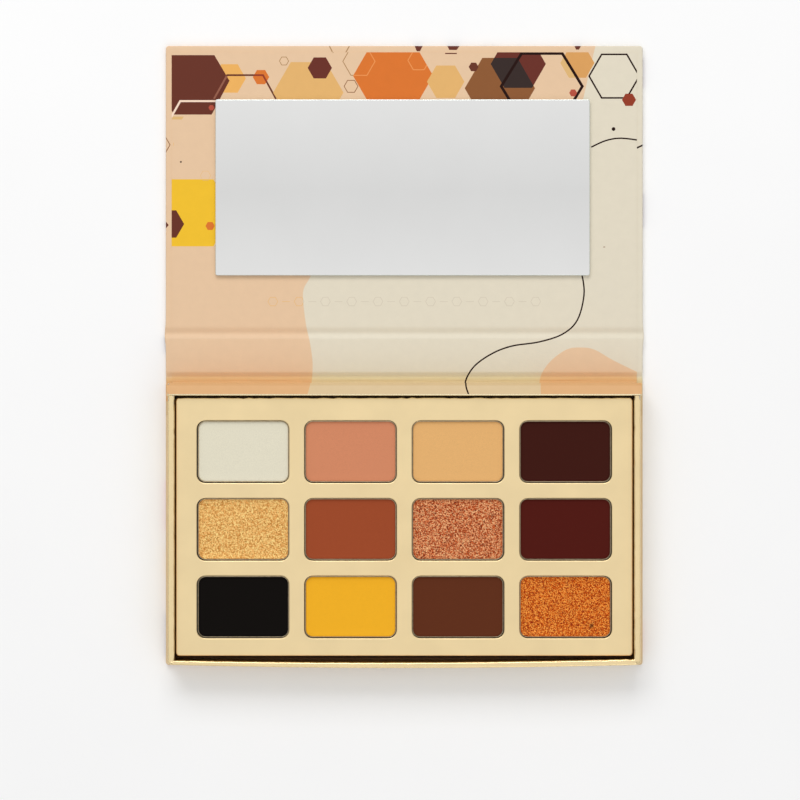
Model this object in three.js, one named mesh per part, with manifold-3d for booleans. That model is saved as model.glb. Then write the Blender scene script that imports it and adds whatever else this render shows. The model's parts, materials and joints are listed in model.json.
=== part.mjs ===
// A book-style eyeshadow palette of paper-covered board, opened flat.
// A tray with twelve pans stands on the base panel, a narrow spine panel follows,
// and the lid panel carries a mirror. The two creases beside the spine are the hinges.
// Millimetres, +Z up. X runs across the palette, Y from the tray (-) to the lid (+).
// The origin is the centre of the footprint, on the surface that the palette lies on.

import * as THREE from 'three';
import { mergeVertices } from 'three/addons/utils/BufferGeometryUtils.js';
import Module from 'manifold-3d';

const wasm = await Module();
wasm.setup();

// ---- Driving dimensions ----

// Cover panels: board covered by a printed wrap outside and a liner inside
const PAPER = 0.2;
const COVER_BOARD = 1.5;
const COVER_HALF_WIDTH = 72.6;
const CREASE_PITCH = 12.5;
const PANEL_REACH = 88;
const PANEL_SETBACK = 2.2;
const SPINE_SETBACK = 1.1;
const CREASE_GAP = 0.3;
const TURN_IN = 10;
const LINER_INSET = 1.8;
const COVER_CORNER = 0.9;

// Tray walls
const TRAY_HALF_WIDTH = 71.3;
const TRAY_FRONT_INSET = 0.5;
const TRAY_WALL = 2;
const REAR_WALL = 3.8;
const RIM_CLEARANCE = 0.3;
const TRAY_CORNER = 0.9;

// Card, pans and powders
const CARD_THICKNESS = 1;
const CARD_RECESS = 1.8;
const CARD_SIDE_GAP = 0.6;
const CARD_END_GAP = 0.95;
const CARD_CORNER = 1;
const COLUMNS = 4;
const ROWS = 3;
const COLUMN_PITCH = 32.5;
const ROW_PITCH = 23.45;
const FIRST_ROW_FROM_REAR_WALL = 16.95;
const WINDOW_X = 28;
const WINDOW_Y = 19;
const WINDOW_CORNER = 2.5;
const PAN_CLEARANCE = 0.3;
const PAN_WALL = 0.4;
const PAN_HEIGHT = 4.5;
const PAN_BELOW_CARD = 0.2;
const POWDER_GAP = 0.05;
const POWDER_BELOW_RIM = 0.6;
const POWDER_BEVEL = 0.35;

// Filling under the card
const ADHESIVE = 0.2;
const FILLING_GAP = 0.3;

// Closing magnets
const MAGNET_X = 15;
const MAGNET_Y = 3;
const TRAY_MAGNET_HEIGHT = 2;
const LID_MAGNET_HEIGHT = 0.9;
const MAGNET_OFFSET_X = 45;
const MAGNET_FROM_FREE_EDGE = 5.75;
const POCKET_GAP = 0.15;

// Mirror
const MIRROR_HALF_WIDTH = 56.9;
const MIRROR_DEPTH = 53.5;
const MIRROR_FROM_CREASE = 18.05;
const MIRROR_GLASS = 1;
const MIRROR_TAPE = 0.2;
const TAPE_INSET = 3;
const MIRROR_CORNER = 0.6;

// Segments on each rounded corner
const CORNER_STEPS = 3;

// ---- Heights and lines derived from them ----

const BOARD_BOTTOM = PAPER;
const BOARD_TOP = PAPER + COVER_BOARD;
const REBATE = BOARD_TOP - PAPER;
const PANEL_TOP = BOARD_TOP + PAPER;
const CREASE_Z = PAPER;
const CREASE_Y = CREASE_PITCH / 2;
const FREE_EDGE = CREASE_Y + PANEL_REACH;

// The closed lid turns over about both creases, so its inner face lands here
const CLOSED_LID_FACE = 2 * CREASE_Z + CREASE_PITCH - PANEL_TOP;
const RIM_TOP = CLOSED_LID_FACE - RIM_CLEARANCE;

const TRAY_FRONT = -(FREE_EDGE - TRAY_FRONT_INSET);
const TRAY_REAR = -(CREASE_Y + PANEL_SETBACK);
const WALL_INSIDE_X = TRAY_HALF_WIDTH - TRAY_WALL;
const WALL_INSIDE_FRONT = TRAY_FRONT + TRAY_WALL;
const WALL_INSIDE_REAR = TRAY_REAR - REAR_WALL;

const CARD_TOP = RIM_TOP - CARD_RECESS;
const CARD_BOTTOM = CARD_TOP - CARD_THICKNESS;
const PAN_TOP = CARD_TOP - PAN_BELOW_CARD;
const PAN_BOTTOM = PAN_TOP - PAN_HEIGHT;
const BED_TOP = PAN_BOTTOM - ADHESIVE;
const FILLING_HALF_WIDTH = WALL_INSIDE_X - FILLING_GAP;
const FILLING_FRONT = WALL_INSIDE_FRONT + FILLING_GAP;
const FILLING_REAR = WALL_INSIDE_REAR - FILLING_GAP;
const MAGNET_Y_CENTRE = FREE_EDGE - MAGNET_FROM_FREE_EDGE;
const TRAY_MAGNET_TOP = CARD_BOTTOM - POCKET_GAP;
const LID_MAGNET_TOP = REBATE - POCKET_GAP;

// ---- Materials ----

function finish(color, roughness, metalness = 0) {
  return new THREE.MeshStandardMaterial({ color, roughness, metalness });
}

const PRINTED_PAPER = 0xe6cfae;
const GREY_BOARD = 0xb5aa98;
const GOLD_FOIL = 0xdfc58c;
const GOLD_CARD = 0xead39c;
const PAN_METAL = 0xc9c9c6;
const MAGNET_NICKEL = 0xa8a8aa;
const WHITE_TAPE = 0xf0efe9;
const MIRROR_SILVER = 0xe4e4e4;

// Powder shades, row by row from the spine, each row from left to right
const POWDER_SHADES = [
  [0xded9c2, 0xd08863, 0xe2af6d, 0x401c16],
  [0xe1ad66, 0x9a492b, 0xc5764b, 0x511e19],
  [0x141110, 0xf2af25, 0x5f311e, 0xcc6c1b],
];

// ---- Shape helpers ----

// A rectangle whose corner radii run: low x low y, high x low y, high x high y, low x high y
function outline(x0, x1, y0, y1, [r00, r10, r11, r01] = [0, 0, 0, 0]) {
  const shape = new THREE.Shape();
  shape.moveTo(x0 + r00, y0);
  shape.lineTo(x1 - r10, y0);
  if (r10) shape.absarc(x1 - r10, y0 + r10, r10, -Math.PI / 2, 0, false);
  shape.lineTo(x1, y1 - r11);
  if (r11) shape.absarc(x1 - r11, y1 - r11, r11, 0, Math.PI / 2, false);
  shape.lineTo(x0 + r01, y1);
  if (r01) shape.absarc(x0 + r01, y1 - r01, r01, Math.PI / 2, Math.PI, false);
  shape.lineTo(x0, y0 + r00);
  if (r00) shape.absarc(x0 + r00, y0 + r00, r00, Math.PI, 1.5 * Math.PI, false);
  return shape;
}

function roundedOutline(halfX, halfY, radius, centreX = 0, centreY = 0) {
  const radii = [radius, radius, radius, radius];
  return outline(centreX - halfX, centreX + halfX, centreY - halfY, centreY + halfY, radii);
}

function prism(shape, bottom, top) {
  const options = { depth: top - bottom, bevelEnabled: false, curveSegments: CORNER_STEPS };
  return new THREE.ExtrudeGeometry(shape, options).translate(0, 0, bottom);
}

function box(x0, x1, y0, y1, z0, z1) {
  const geometry = new THREE.BoxGeometry(x1 - x0, y1 - y0, z1 - z0);
  return geometry.translate((x0 + x1) / 2, (y0 + y1) / 2, (z0 + z1) / 2);
}

// A side profile, given as [y, z] points, carried across the palette along X
function acrossX(points, halfWidth) {
  const shape = new THREE.Shape(points.map(([y, z]) => new THREE.Vector2(y, z)));
  const options = { depth: 2 * halfWidth, bevelEnabled: false };
  const toSideView = new THREE.Matrix4().makeBasis(
    new THREE.Vector3(0, 1, 0),
    new THREE.Vector3(0, 0, 1),
    new THREE.Vector3(1, 0, 0),
  );
  const geometry = new THREE.ExtrudeGeometry(shape, options).applyMatrix4(toSideView);
  return geometry.translate(-halfWidth, 0, 0);
}

function solid(geometry) {
  const bare = geometry.clone();
  bare.deleteAttribute('normal');
  bare.deleteAttribute('uv');
  const merged = mergeVertices(bare, 1e-5);
  const vertProperties = new Float32Array(merged.attributes.position.array);
  const triVerts = new Uint32Array(merged.index.array);
  return new wasm.Manifold(new wasm.Mesh({ numProp: 3, vertProperties, triVerts }));
}

function geometryOf(manifold) {
  const mesh = manifold.getMesh();
  const geometry = new THREE.BufferGeometry();
  geometry.setAttribute('position', new THREE.BufferAttribute(mesh.vertProperties, 3));
  geometry.setIndex(new THREE.BufferAttribute(mesh.triVerts, 1));
  geometry.computeVertexNormals();
  return geometry;
}

function join(first, ...others) {
  return geometryOf(others.reduce((whole, piece) => whole.add(solid(piece)), solid(first)));
}

function cut(body, ...tools) {
  return geometryOf(tools.reduce((whole, tool) => whole.subtract(solid(tool)), solid(body)));
}

const palette = new THREE.Group();

function addPart(parent, name, geometry, material) {
  const mesh = new THREE.Mesh(geometry, material);
  mesh.name = name;
  parent.add(mesh);
}

// ---- Cover panels ----

// side is 1 for the lid and -1 for the base: the two panels mirror each other across the spine
function panelOutline(side, halfWidth, creaseEdge, freeEdge, corner) {
  if (side > 0) return outline(-halfWidth, halfWidth, creaseEdge, freeEdge, [0, 0, corner, corner]);
  return outline(-halfWidth, halfWidth, -freeEdge, -creaseEdge, [corner, corner, 0, 0]);
}

const BOARD_EDGE = CREASE_Y + PANEL_SETBACK + PAPER;
const BOARD_HALF_WIDTH = COVER_HALF_WIDTH - PAPER;
const BOARD_CORNER = COVER_CORNER - PAPER;
const CUT_MARGIN = 1;

// The board is rebated under the turned-in wrap, so that the liner lies flat
function panelBoard(side) {
  const whole = panelOutline(side, BOARD_HALF_WIDTH, BOARD_EDGE, FREE_EDGE - PAPER, BOARD_CORNER);
  const raised = panelOutline(side, COVER_HALF_WIDTH - TURN_IN, BOARD_EDGE, FREE_EDGE - TURN_IN, 0);
  return join(prism(whole, BOARD_BOTTOM, REBATE), prism(raised, BOARD_BOTTOM, BOARD_TOP));
}

// The wrap runs under the board, up its three free edges and back over its face
function panelWrap(side) {
  const creaseEdge = BOARD_EDGE - CUT_MARGIN;
  const whole = panelOutline(side, COVER_HALF_WIDTH, BOARD_EDGE, FREE_EDGE, COVER_CORNER);
  const cavity = panelOutline(side, BOARD_HALF_WIDTH, creaseEdge, FREE_EDGE - PAPER, BOARD_CORNER);
  const opening = panelOutline(side, COVER_HALF_WIDTH - TURN_IN, creaseEdge, FREE_EDGE - TURN_IN, 0);
  const gutter = panelOutline(side, COVER_HALF_WIDTH, CREASE_Y + CREASE_GAP, BOARD_EDGE + CUT_MARGIN, 0);
  const shell = cut(
    prism(whole, 0, BOARD_TOP),
    prism(cavity, BOARD_BOTTOM, REBATE),
    prism(opening, BOARD_BOTTOM, BOARD_TOP + CUT_MARGIN),
  );
  return join(shell, prism(gutter, 0, PAPER));
}

function magnetBlock(x, y, bottom, top, gap = 0) {
  const halfX = MAGNET_X / 2 + gap;
  const halfY = MAGNET_Y / 2 + gap;
  return box(x - halfX, x + halfX, y - halfY, y + halfY, bottom, top);
}

const MAGNET_SIDES = [
  ['left', -MAGNET_OFFSET_X],
  ['right', MAGNET_OFFSET_X],
];

// ---- Base: cover panel under the tray ----

function addBasePanel(group) {
  const paper = finish(PRINTED_PAPER, 0.55);
  const liner = box(-TRAY_HALF_WIDTH, TRAY_HALF_WIDTH, TRAY_FRONT, -BOARD_EDGE, BOARD_TOP, PANEL_TOP);
  addPart(group, 'base_board', panelBoard(-1), finish(GREY_BOARD, 0.9));
  addPart(group, 'base_wrap', panelWrap(-1), paper);
  addPart(group, 'base_liner', liner, paper.clone());
}

// ---- Tray walls ----

const MITRE_REACH = 60;

// Three walls drawn as one ring that is open at the rear
function wallRing(outset, inset, corner, top) {
  const halfOut = TRAY_HALF_WIDTH - outset;
  const halfIn = WALL_INSIDE_X + inset;
  const whole = outline(-halfOut, halfOut, TRAY_FRONT + outset, WALL_INSIDE_REAR, [corner, corner, 0, 0]);
  const inside = outline(-halfIn, halfIn, WALL_INSIDE_FRONT - inset, WALL_INSIDE_REAR + CUT_MARGIN);
  return cut(prism(whole, PANEL_TOP, top), prism(inside, PANEL_TOP - CUT_MARGIN, top + CUT_MARGIN));
}

// The foil paper is folded over each wall and meets its neighbours in a mitre
function mitreWedge(name) {
  const shape = new THREE.Shape();
  const apexY = TRAY_FRONT + MITRE_REACH;
  const outsideX = TRAY_HALF_WIDTH + CUT_MARGIN;
  const apexX = TRAY_HALF_WIDTH - MITRE_REACH;
  const rear = WALL_INSIDE_REAR + CUT_MARGIN;
  const side = name === 'left' ? -1 : 1;
  if (name === 'front') {
    shape.moveTo(-outsideX, TRAY_FRONT - CUT_MARGIN);
    shape.lineTo(outsideX, TRAY_FRONT - CUT_MARGIN);
    shape.lineTo(apexX, apexY);
    shape.lineTo(-apexX, apexY);
  } else {
    shape.moveTo(side * outsideX, TRAY_FRONT - CUT_MARGIN);
    shape.lineTo(side * outsideX, rear);
    shape.lineTo(side * apexX, rear);
    shape.lineTo(side * apexX, apexY);
  }
  return prism(shape, PANEL_TOP - CUT_MARGIN, RIM_TOP + CUT_MARGIN);
}

function addTrayWalls(group) {
  const foilSkin = cut(
    wallRing(0, 0, TRAY_CORNER, RIM_TOP),
    wallRing(PAPER, -PAPER, TRAY_CORNER - PAPER, RIM_TOP - PAPER),
  );
  for (const name of ['front', 'left', 'right']) {
    const foil = geometryOf(solid(foilSkin).intersect(solid(mitreWedge(name))));
    addPart(group, `${name}_wall_wrap`, foil, finish(GOLD_FOIL, 0.38, 0.6));
  }
  const boardFront = TRAY_FRONT + PAPER;
  const boardInside = WALL_INSIDE_FRONT - PAPER;
  const boardOut = TRAY_HALF_WIDTH - PAPER;
  const boardIn = WALL_INSIDE_X + PAPER;
  const boardCorner = TRAY_CORNER - PAPER;
  const boardTop = RIM_TOP - PAPER;
  const front = outline(-boardOut, boardOut, boardFront, boardInside, [boardCorner, boardCorner, 0, 0]);
  const left = box(-boardOut, -boardIn, boardInside, WALL_INSIDE_REAR, PANEL_TOP, boardTop);
  const right = box(boardIn, boardOut, boardInside, WALL_INSIDE_REAR, PANEL_TOP, boardTop);
  addPart(group, 'front_wall_board', prism(front, PANEL_TOP, boardTop), finish(GREY_BOARD, 0.9));
  addPart(group, 'left_wall_board', left, finish(GREY_BOARD, 0.9));
  addPart(group, 'right_wall_board', right, finish(GREY_BOARD, 0.9));
}

// The printed liner leaves the crease, climbs the rear wall and folds down inside the tray
function addRearWall(group) {
  const outer = TRAY_REAR;
  const inner = WALL_INSIDE_REAR;
  const board = box(
    -TRAY_HALF_WIDTH, TRAY_HALF_WIDTH, inner + PAPER, outer - PAPER, PANEL_TOP, RIM_TOP - PAPER,
  );
  const profile = [
    [-CREASE_Y - CREASE_GAP, PAPER],
    [-CREASE_Y - CREASE_GAP, 2 * PAPER],
    [outer, 2 * PAPER],
    [outer, RIM_TOP],
    [inner, RIM_TOP],
    [inner, PANEL_TOP],
    [inner + PAPER, PANEL_TOP],
    [inner + PAPER, RIM_TOP - PAPER],
    [outer - PAPER, RIM_TOP - PAPER],
    [outer - PAPER, PAPER],
  ];
  addPart(group, 'rear_wall_board', board, finish(GREY_BOARD, 0.9));
  addPart(group, 'rear_wall_liner', acrossX(profile, TRAY_HALF_WIDTH), finish(PRINTED_PAPER, 0.55));
}

// ---- Card, filling, pans and powders ----

const cells = [];
for (let row = 0; row < ROWS; row += 1) {
  for (let column = 0; column < COLUMNS; column += 1) {
    cells.push({
      name: `${row + 1}_${column + 1}`,
      x: (column - (COLUMNS - 1) / 2) * COLUMN_PITCH,
      y: WALL_INSIDE_REAR - FIRST_ROW_FROM_REAR_WALL - row * ROW_PITCH,
      shade: POWDER_SHADES[row][column],
    });
  }
}

// Opens one window per pan in an outline
function pierced(shape) {
  for (const { x, y } of cells) {
    shape.holes.push(roundedOutline(WINDOW_X / 2, WINDOW_Y / 2, WINDOW_CORNER, x, y));
  }
  return shape;
}

function addCard(group) {
  const halfX = WALL_INSIDE_X - CARD_SIDE_GAP;
  const front = WALL_INSIDE_FRONT + CARD_END_GAP;
  const rear = WALL_INSIDE_REAR - CARD_END_GAP;
  const radii = [CARD_CORNER, CARD_CORNER, CARD_CORNER, CARD_CORNER];
  const card = pierced(outline(-halfX, halfX, front, rear, radii));
  addPart(group, 'insert_card', prism(card, CARD_BOTTOM, CARD_TOP), finish(GOLD_CARD, 0.42, 0.45));
}

function addFilling(group) {
  const footprint = () => outline(
    -FILLING_HALF_WIDTH, FILLING_HALF_WIDTH, FILLING_FRONT, FILLING_REAR,
  );
  const magnetBottom = TRAY_MAGNET_TOP - TRAY_MAGNET_HEIGHT;
  const pockets = MAGNET_SIDES.map(([, x]) => magnetBlock(
    x, -MAGNET_Y_CENTRE, magnetBottom - POCKET_GAP, CARD_BOTTOM + CUT_MARGIN, POCKET_GAP,
  ));
  const frame = cut(prism(pierced(footprint()), PAN_BOTTOM, CARD_BOTTOM), ...pockets);
  addPart(group, 'pan_bed', prism(footprint(), PANEL_TOP, BED_TOP), finish(GREY_BOARD, 0.9));
  addPart(group, 'pan_adhesive', prism(footprint(), BED_TOP, PAN_BOTTOM), finish(WHITE_TAPE, 0.5));
  addPart(group, 'pan_frame', frame, finish(GREY_BOARD, 0.9));
  for (const [name, x] of MAGNET_SIDES) {
    const magnet = magnetBlock(x, -MAGNET_Y_CENTRE, magnetBottom, TRAY_MAGNET_TOP);
    addPart(group, `tray_magnet_${name}`, magnet, finish(MAGNET_NICKEL, 0.3, 1));
  }
}

function addPans(group) {
  const panHalfX = WINDOW_X / 2 - PAN_CLEARANCE;
  const panHalfY = WINDOW_Y / 2 - PAN_CLEARANCE;
  const panCorner = WINDOW_CORNER - PAN_CLEARANCE;
  const floor = PAN_BOTTOM + PAN_WALL;
  for (const { name, x, y, shade } of cells) {
    const hollow = roundedOutline(panHalfX - PAN_WALL, panHalfY - PAN_WALL, panCorner - PAN_WALL, x, y);
    const pan = cut(
      prism(roundedOutline(panHalfX, panHalfY, panCorner, x, y), PAN_BOTTOM, PAN_TOP),
      prism(hollow, floor, PAN_TOP + CUT_MARGIN),
    );
    addPart(group, `pan_${name}`, pan, finish(PAN_METAL, 0.35, 1));
    addPart(group, `powder_${name}`, powder(x, y, floor), finish(shade, 0.85));
  }
}

// A pressed cake: straight sides, a soft bevel round its top edge
function powder(x, y, floor) {
  const inset = PAN_CLEARANCE + PAN_WALL + POWDER_GAP + POWDER_BEVEL;
  const corner = WINDOW_CORNER - inset;
  const shape = roundedOutline(WINDOW_X / 2 - inset, WINDOW_Y / 2 - inset, corner, x, y);
  const bottom = floor + POWDER_GAP;
  const top = PAN_TOP - POWDER_BELOW_RIM;
  const geometry = new THREE.ExtrudeGeometry(shape, {
    depth: top - bottom - 2 * POWDER_BEVEL,
    bevelThickness: POWDER_BEVEL,
    bevelSize: POWDER_BEVEL,
    bevelSegments: 1,
    curveSegments: CORNER_STEPS,
  });
  return geometry.translate(0, 0, bottom + POWDER_BEVEL);
}

// ---- Spine panel ----

function addSpine(group) {
  const boardEdge = CREASE_Y - SPINE_SETBACK - PAPER;
  const linerEdge = boardEdge + PAPER;
  const paperEdge = CREASE_Y - CREASE_GAP;
  const raised = COVER_HALF_WIDTH - TURN_IN;
  const width = COVER_HALF_WIDTH;
  const board = join(
    box(-BOARD_HALF_WIDTH, BOARD_HALF_WIDTH, -boardEdge, boardEdge, BOARD_BOTTOM, REBATE),
    box(-raised, raised, -boardEdge, boardEdge, BOARD_BOTTOM, BOARD_TOP),
  );
  const shell = cut(
    box(-width, width, -boardEdge, boardEdge, 0, BOARD_TOP),
    box(-BOARD_HALF_WIDTH, BOARD_HALF_WIDTH, -paperEdge, paperEdge, BOARD_BOTTOM, REBATE),
    box(-raised, raised, -paperEdge, paperEdge, BOARD_BOTTOM, BOARD_TOP + CUT_MARGIN),
  );
  const wrap = join(shell, box(-width, width, -paperEdge, paperEdge, 0, PAPER));
  const liner = acrossX([
    [-paperEdge, PAPER],
    [-boardEdge, PAPER],
    [-boardEdge, BOARD_TOP],
    [boardEdge, BOARD_TOP],
    [boardEdge, PAPER],
    [paperEdge, PAPER],
    [paperEdge, 2 * PAPER],
    [linerEdge, 2 * PAPER],
    [linerEdge, PANEL_TOP],
    [-linerEdge, PANEL_TOP],
    [-linerEdge, 2 * PAPER],
    [-paperEdge, 2 * PAPER],
  ], COVER_HALF_WIDTH - LINER_INSET);
  addPart(group, 'spine_board', board, finish(GREY_BOARD, 0.9));
  addPart(group, 'spine_wrap', wrap, finish(PRINTED_PAPER, 0.55));
  addPart(group, 'spine_liner', liner, finish(PRINTED_PAPER, 0.55));
}

// ---- Lid panel with its mirror ----

function addLidPanel(group) {
  const magnetBottom = LID_MAGNET_TOP - LID_MAGNET_HEIGHT;
  const pockets = MAGNET_SIDES.map(([, x]) => magnetBlock(
    x, MAGNET_Y_CENTRE, magnetBottom - POCKET_GAP, BOARD_TOP, POCKET_GAP,
  ));
  const liner = acrossX([
    [CREASE_Y + CREASE_GAP, PAPER],
    [BOARD_EDGE, PAPER],
    [BOARD_EDGE, BOARD_TOP],
    [FREE_EDGE - LINER_INSET, BOARD_TOP],
    [FREE_EDGE - LINER_INSET, PANEL_TOP],
    [BOARD_EDGE - PAPER, PANEL_TOP],
    [BOARD_EDGE - PAPER, 2 * PAPER],
    [CREASE_Y + CREASE_GAP, 2 * PAPER],
  ], COVER_HALF_WIDTH - LINER_INSET);
  addPart(group, 'lid_board', cut(panelBoard(1), ...pockets), finish(GREY_BOARD, 0.9));
  addPart(group, 'lid_wrap', panelWrap(1), finish(PRINTED_PAPER, 0.55));
  addPart(group, 'lid_liner', liner, finish(PRINTED_PAPER, 0.55));
  for (const [name, x] of MAGNET_SIDES) {
    const magnet = magnetBlock(x, MAGNET_Y_CENTRE, magnetBottom, LID_MAGNET_TOP);
    addPart(group, `lid_magnet_${name}`, magnet, finish(MAGNET_NICKEL, 0.3, 1));
  }
}

function addMirror(group) {
  const centreY = CREASE_Y + MIRROR_FROM_CREASE + MIRROR_DEPTH / 2;
  const halfY = MIRROR_DEPTH / 2;
  const glassBottom = PANEL_TOP + MIRROR_TAPE;
  const glass = roundedOutline(MIRROR_HALF_WIDTH, halfY, MIRROR_CORNER, 0, centreY);
  const tapeHalfX = MIRROR_HALF_WIDTH - TAPE_INSET;
  const tapeHalfY = halfY - TAPE_INSET;
  const tape = box(
    -tapeHalfX, tapeHalfX, centreY - tapeHalfY, centreY + tapeHalfY, PANEL_TOP, glassBottom,
  );
  addPart(group, 'mirror_tape', tape, finish(WHITE_TAPE, 0.5));
  const mirror = prism(glass, glassBottom, glassBottom + MIRROR_GLASS);
  addPart(group, 'mirror', mirror, finish(MIRROR_SILVER, 0.05, 1));
}

const base = new THREE.Group();
addBasePanel(base);
addTrayWalls(base);
addRearWall(base);
addFilling(base);
addCard(base);
addPans(base);

const spine = new THREE.Group();
addSpine(spine);

const lid = new THREE.Group();
addLidPanel(lid);
addMirror(lid);

palette.add(base, spine, lid);

export default palette;
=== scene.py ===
"""Visual model of a book-style eyeshadow palette, opened flat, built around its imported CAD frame.

Lengths in the builders are millimetres in the frame's own axes; meshes are stored in metres.
The printed papers are flat sheets of (x, run) points that are printed by cutting the artwork
into their faces and are then bent along the palette's side profile.
"""
import json
import math
import random

import bmesh
import bpy
import numpy as np
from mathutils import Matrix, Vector, noise


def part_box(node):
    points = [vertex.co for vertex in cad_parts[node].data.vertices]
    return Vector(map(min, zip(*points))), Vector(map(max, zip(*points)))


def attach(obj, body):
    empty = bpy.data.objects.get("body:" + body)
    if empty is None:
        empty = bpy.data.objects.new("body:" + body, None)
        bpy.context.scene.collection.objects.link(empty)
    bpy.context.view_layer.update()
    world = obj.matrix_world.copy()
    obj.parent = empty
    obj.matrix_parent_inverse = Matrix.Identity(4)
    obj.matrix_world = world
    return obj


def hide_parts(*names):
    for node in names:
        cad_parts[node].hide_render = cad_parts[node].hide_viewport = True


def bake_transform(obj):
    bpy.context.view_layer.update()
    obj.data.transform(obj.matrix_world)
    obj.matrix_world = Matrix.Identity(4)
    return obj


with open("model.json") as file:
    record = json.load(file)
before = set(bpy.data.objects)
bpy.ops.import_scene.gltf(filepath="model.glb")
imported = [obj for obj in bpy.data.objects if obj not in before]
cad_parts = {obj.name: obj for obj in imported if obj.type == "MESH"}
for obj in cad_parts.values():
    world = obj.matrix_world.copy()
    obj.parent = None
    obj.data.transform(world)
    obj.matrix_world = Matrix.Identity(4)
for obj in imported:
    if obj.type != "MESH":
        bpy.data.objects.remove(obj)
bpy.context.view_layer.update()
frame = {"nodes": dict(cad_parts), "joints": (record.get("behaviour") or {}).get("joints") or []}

MM = 0.001


# ---------------------------------------------------------------- sizes from the frame


def box_mm(node):
    low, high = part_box(node)
    return low / MM, high / MM


COVER_HIGH = box_mm("lid_wrap")[1]
COVER_HALF = COVER_HIGH.x
FREE_EDGE = COVER_HIGH.y
MARGIN_TOP = COVER_HIGH.z
LINER_TOP = box_mm("lid_liner")[1].z
PAPER = LINER_TOP - MARGIN_TOP
# The papers bridge each gutter between two boards in a shallow valley
VALLEY = 1.3
CREASE = frame["joints"][1]["pos_m"][1] / MM
BOARD_EDGE = box_mm("lid_board")[0].y
SPINE_EDGE = box_mm("spine_board")[1].y
TRAY_LOW, TRAY_HIGH = box_mm("front_wall_wrap")
TRAY_HALF = box_mm("right_wall_wrap")[1].x
TRAY_FRONT = TRAY_LOW.y
RIM_TOP = TRAY_HIGH.z
TRAY_FLOOR = TRAY_LOW.z
WALL = TRAY_HALF - box_mm("right_wall_wrap")[0].x
REAR_OUTER = -(BOARD_EDGE - PAPER)
REAR_INNER = box_mm("rear_wall_liner")[0].y
CARD_LOW, CARD_HIGH = box_mm("insert_card")

ROWS = 3
COLUMNS = 4
# Between a pan and the edge of its window
WINDOW_GAP = 0.2
WINDOW_RADIUS = 2.5


def cell_name(row, column):
    return f"{row + 1}_{column + 1}"


# ---------------------------------------------------------------- the palette's side profile


def filleted(points, radii, steps=6):
    """A polyline with each inner corner rounded to its radius."""
    run = [points[0]]
    for before, corner, after, radius in zip(points, points[1:], points[2:], radii):
        into = (Vector(corner) - Vector(before)).normalized()
        out = (Vector(after) - Vector(corner)).normalized()
        turn = into.angle(out)
        reach = radius * math.tan(turn / 2)
        start = Vector(corner) - into * reach
        side = (out - into * into.dot(out)).normalized()
        for i in range(steps + 1):
            angle = turn * i / steps
            ahead, aside = radius * math.sin(angle), radius * (1 - math.cos(angle))
            run.append(tuple(start + into * ahead + side * aside))
    run.append(points[-1])
    return run


LINER_FAR = FREE_EDGE - 2.0
LINER_REACH = COVER_HALF - 1.8
WALL_DOWN = TRAY_FLOOR + 0.3
LID_LIP = BOARD_EDGE - 0.15
SPINE_LIP = SPINE_EDGE + 0.15
LID_SLOPE = 1.5
SPINE_SLOPE = 1.3
# Corners of the profile as (y, z), and the radius that rounds each inner one
PROFILE_CORNERS = [
    (LINER_FAR, LINER_TOP),
    (LID_LIP, LINER_TOP),
    (LID_LIP - LID_SLOPE, VALLEY),
    (SPINE_LIP + SPINE_SLOPE, VALLEY),
    (SPINE_LIP, LINER_TOP),
    (-SPINE_LIP, LINER_TOP),
    (-SPINE_LIP - SPINE_SLOPE, VALLEY),
    (REAR_OUTER, VALLEY),
    (REAR_OUTER, RIM_TOP),
    (REAR_INNER, RIM_TOP),
    (REAR_INNER, WALL_DOWN),
]
PROFILE_RADII = [3.0, 1.2, 1.2, 1.4, 1.4, 1.2, 0.7, 0.5, 0.4]
PROFILE = np.array(filleted(PROFILE_CORNERS, PROFILE_RADII))
RUN = np.concatenate([[0], np.cumsum(np.hypot(*np.diff(PROFILE, axis=0).T))])
# The far edge's run equals its y, and the run falls along the paper
RUN = PROFILE[0, 0] - RUN


def run_at(y):
    """The run along the lining paper of the point that lies at y, seen from above."""
    past_far_edge = max(0.0, y - PROFILE[0, 0])
    return float(np.interp(-y, -PROFILE[:, 0], RUN)) + past_far_edge


def side_point(run):
    """Where a run along the lining paper lies: (y, z)."""
    order = RUN[::-1]
    return float(np.interp(run, order, PROFILE[::-1, 0])), float(np.interp(run, order, PROFILE[::-1, 1]))


# ---------------------------------------------------------------- node materials


# Millimetres to one UV unit of a printed sheet
SHEET_UNIT = 100


def srgb(red, green, blue):
    """A colour given in 0 to 255 display values, as linear RGBA."""
    channels = []
    for value in (red, green, blue):
        share = value / 255
        channels.append(share / 12.92 if share <= 0.04045 else ((share + 0.055) / 1.055) ** 2.4)
    return (*channels, 1.0)


def shifted(colour, factor):
    return (*(min(1.0, channel * factor) for channel in colour[:3]), 1.0)


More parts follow.
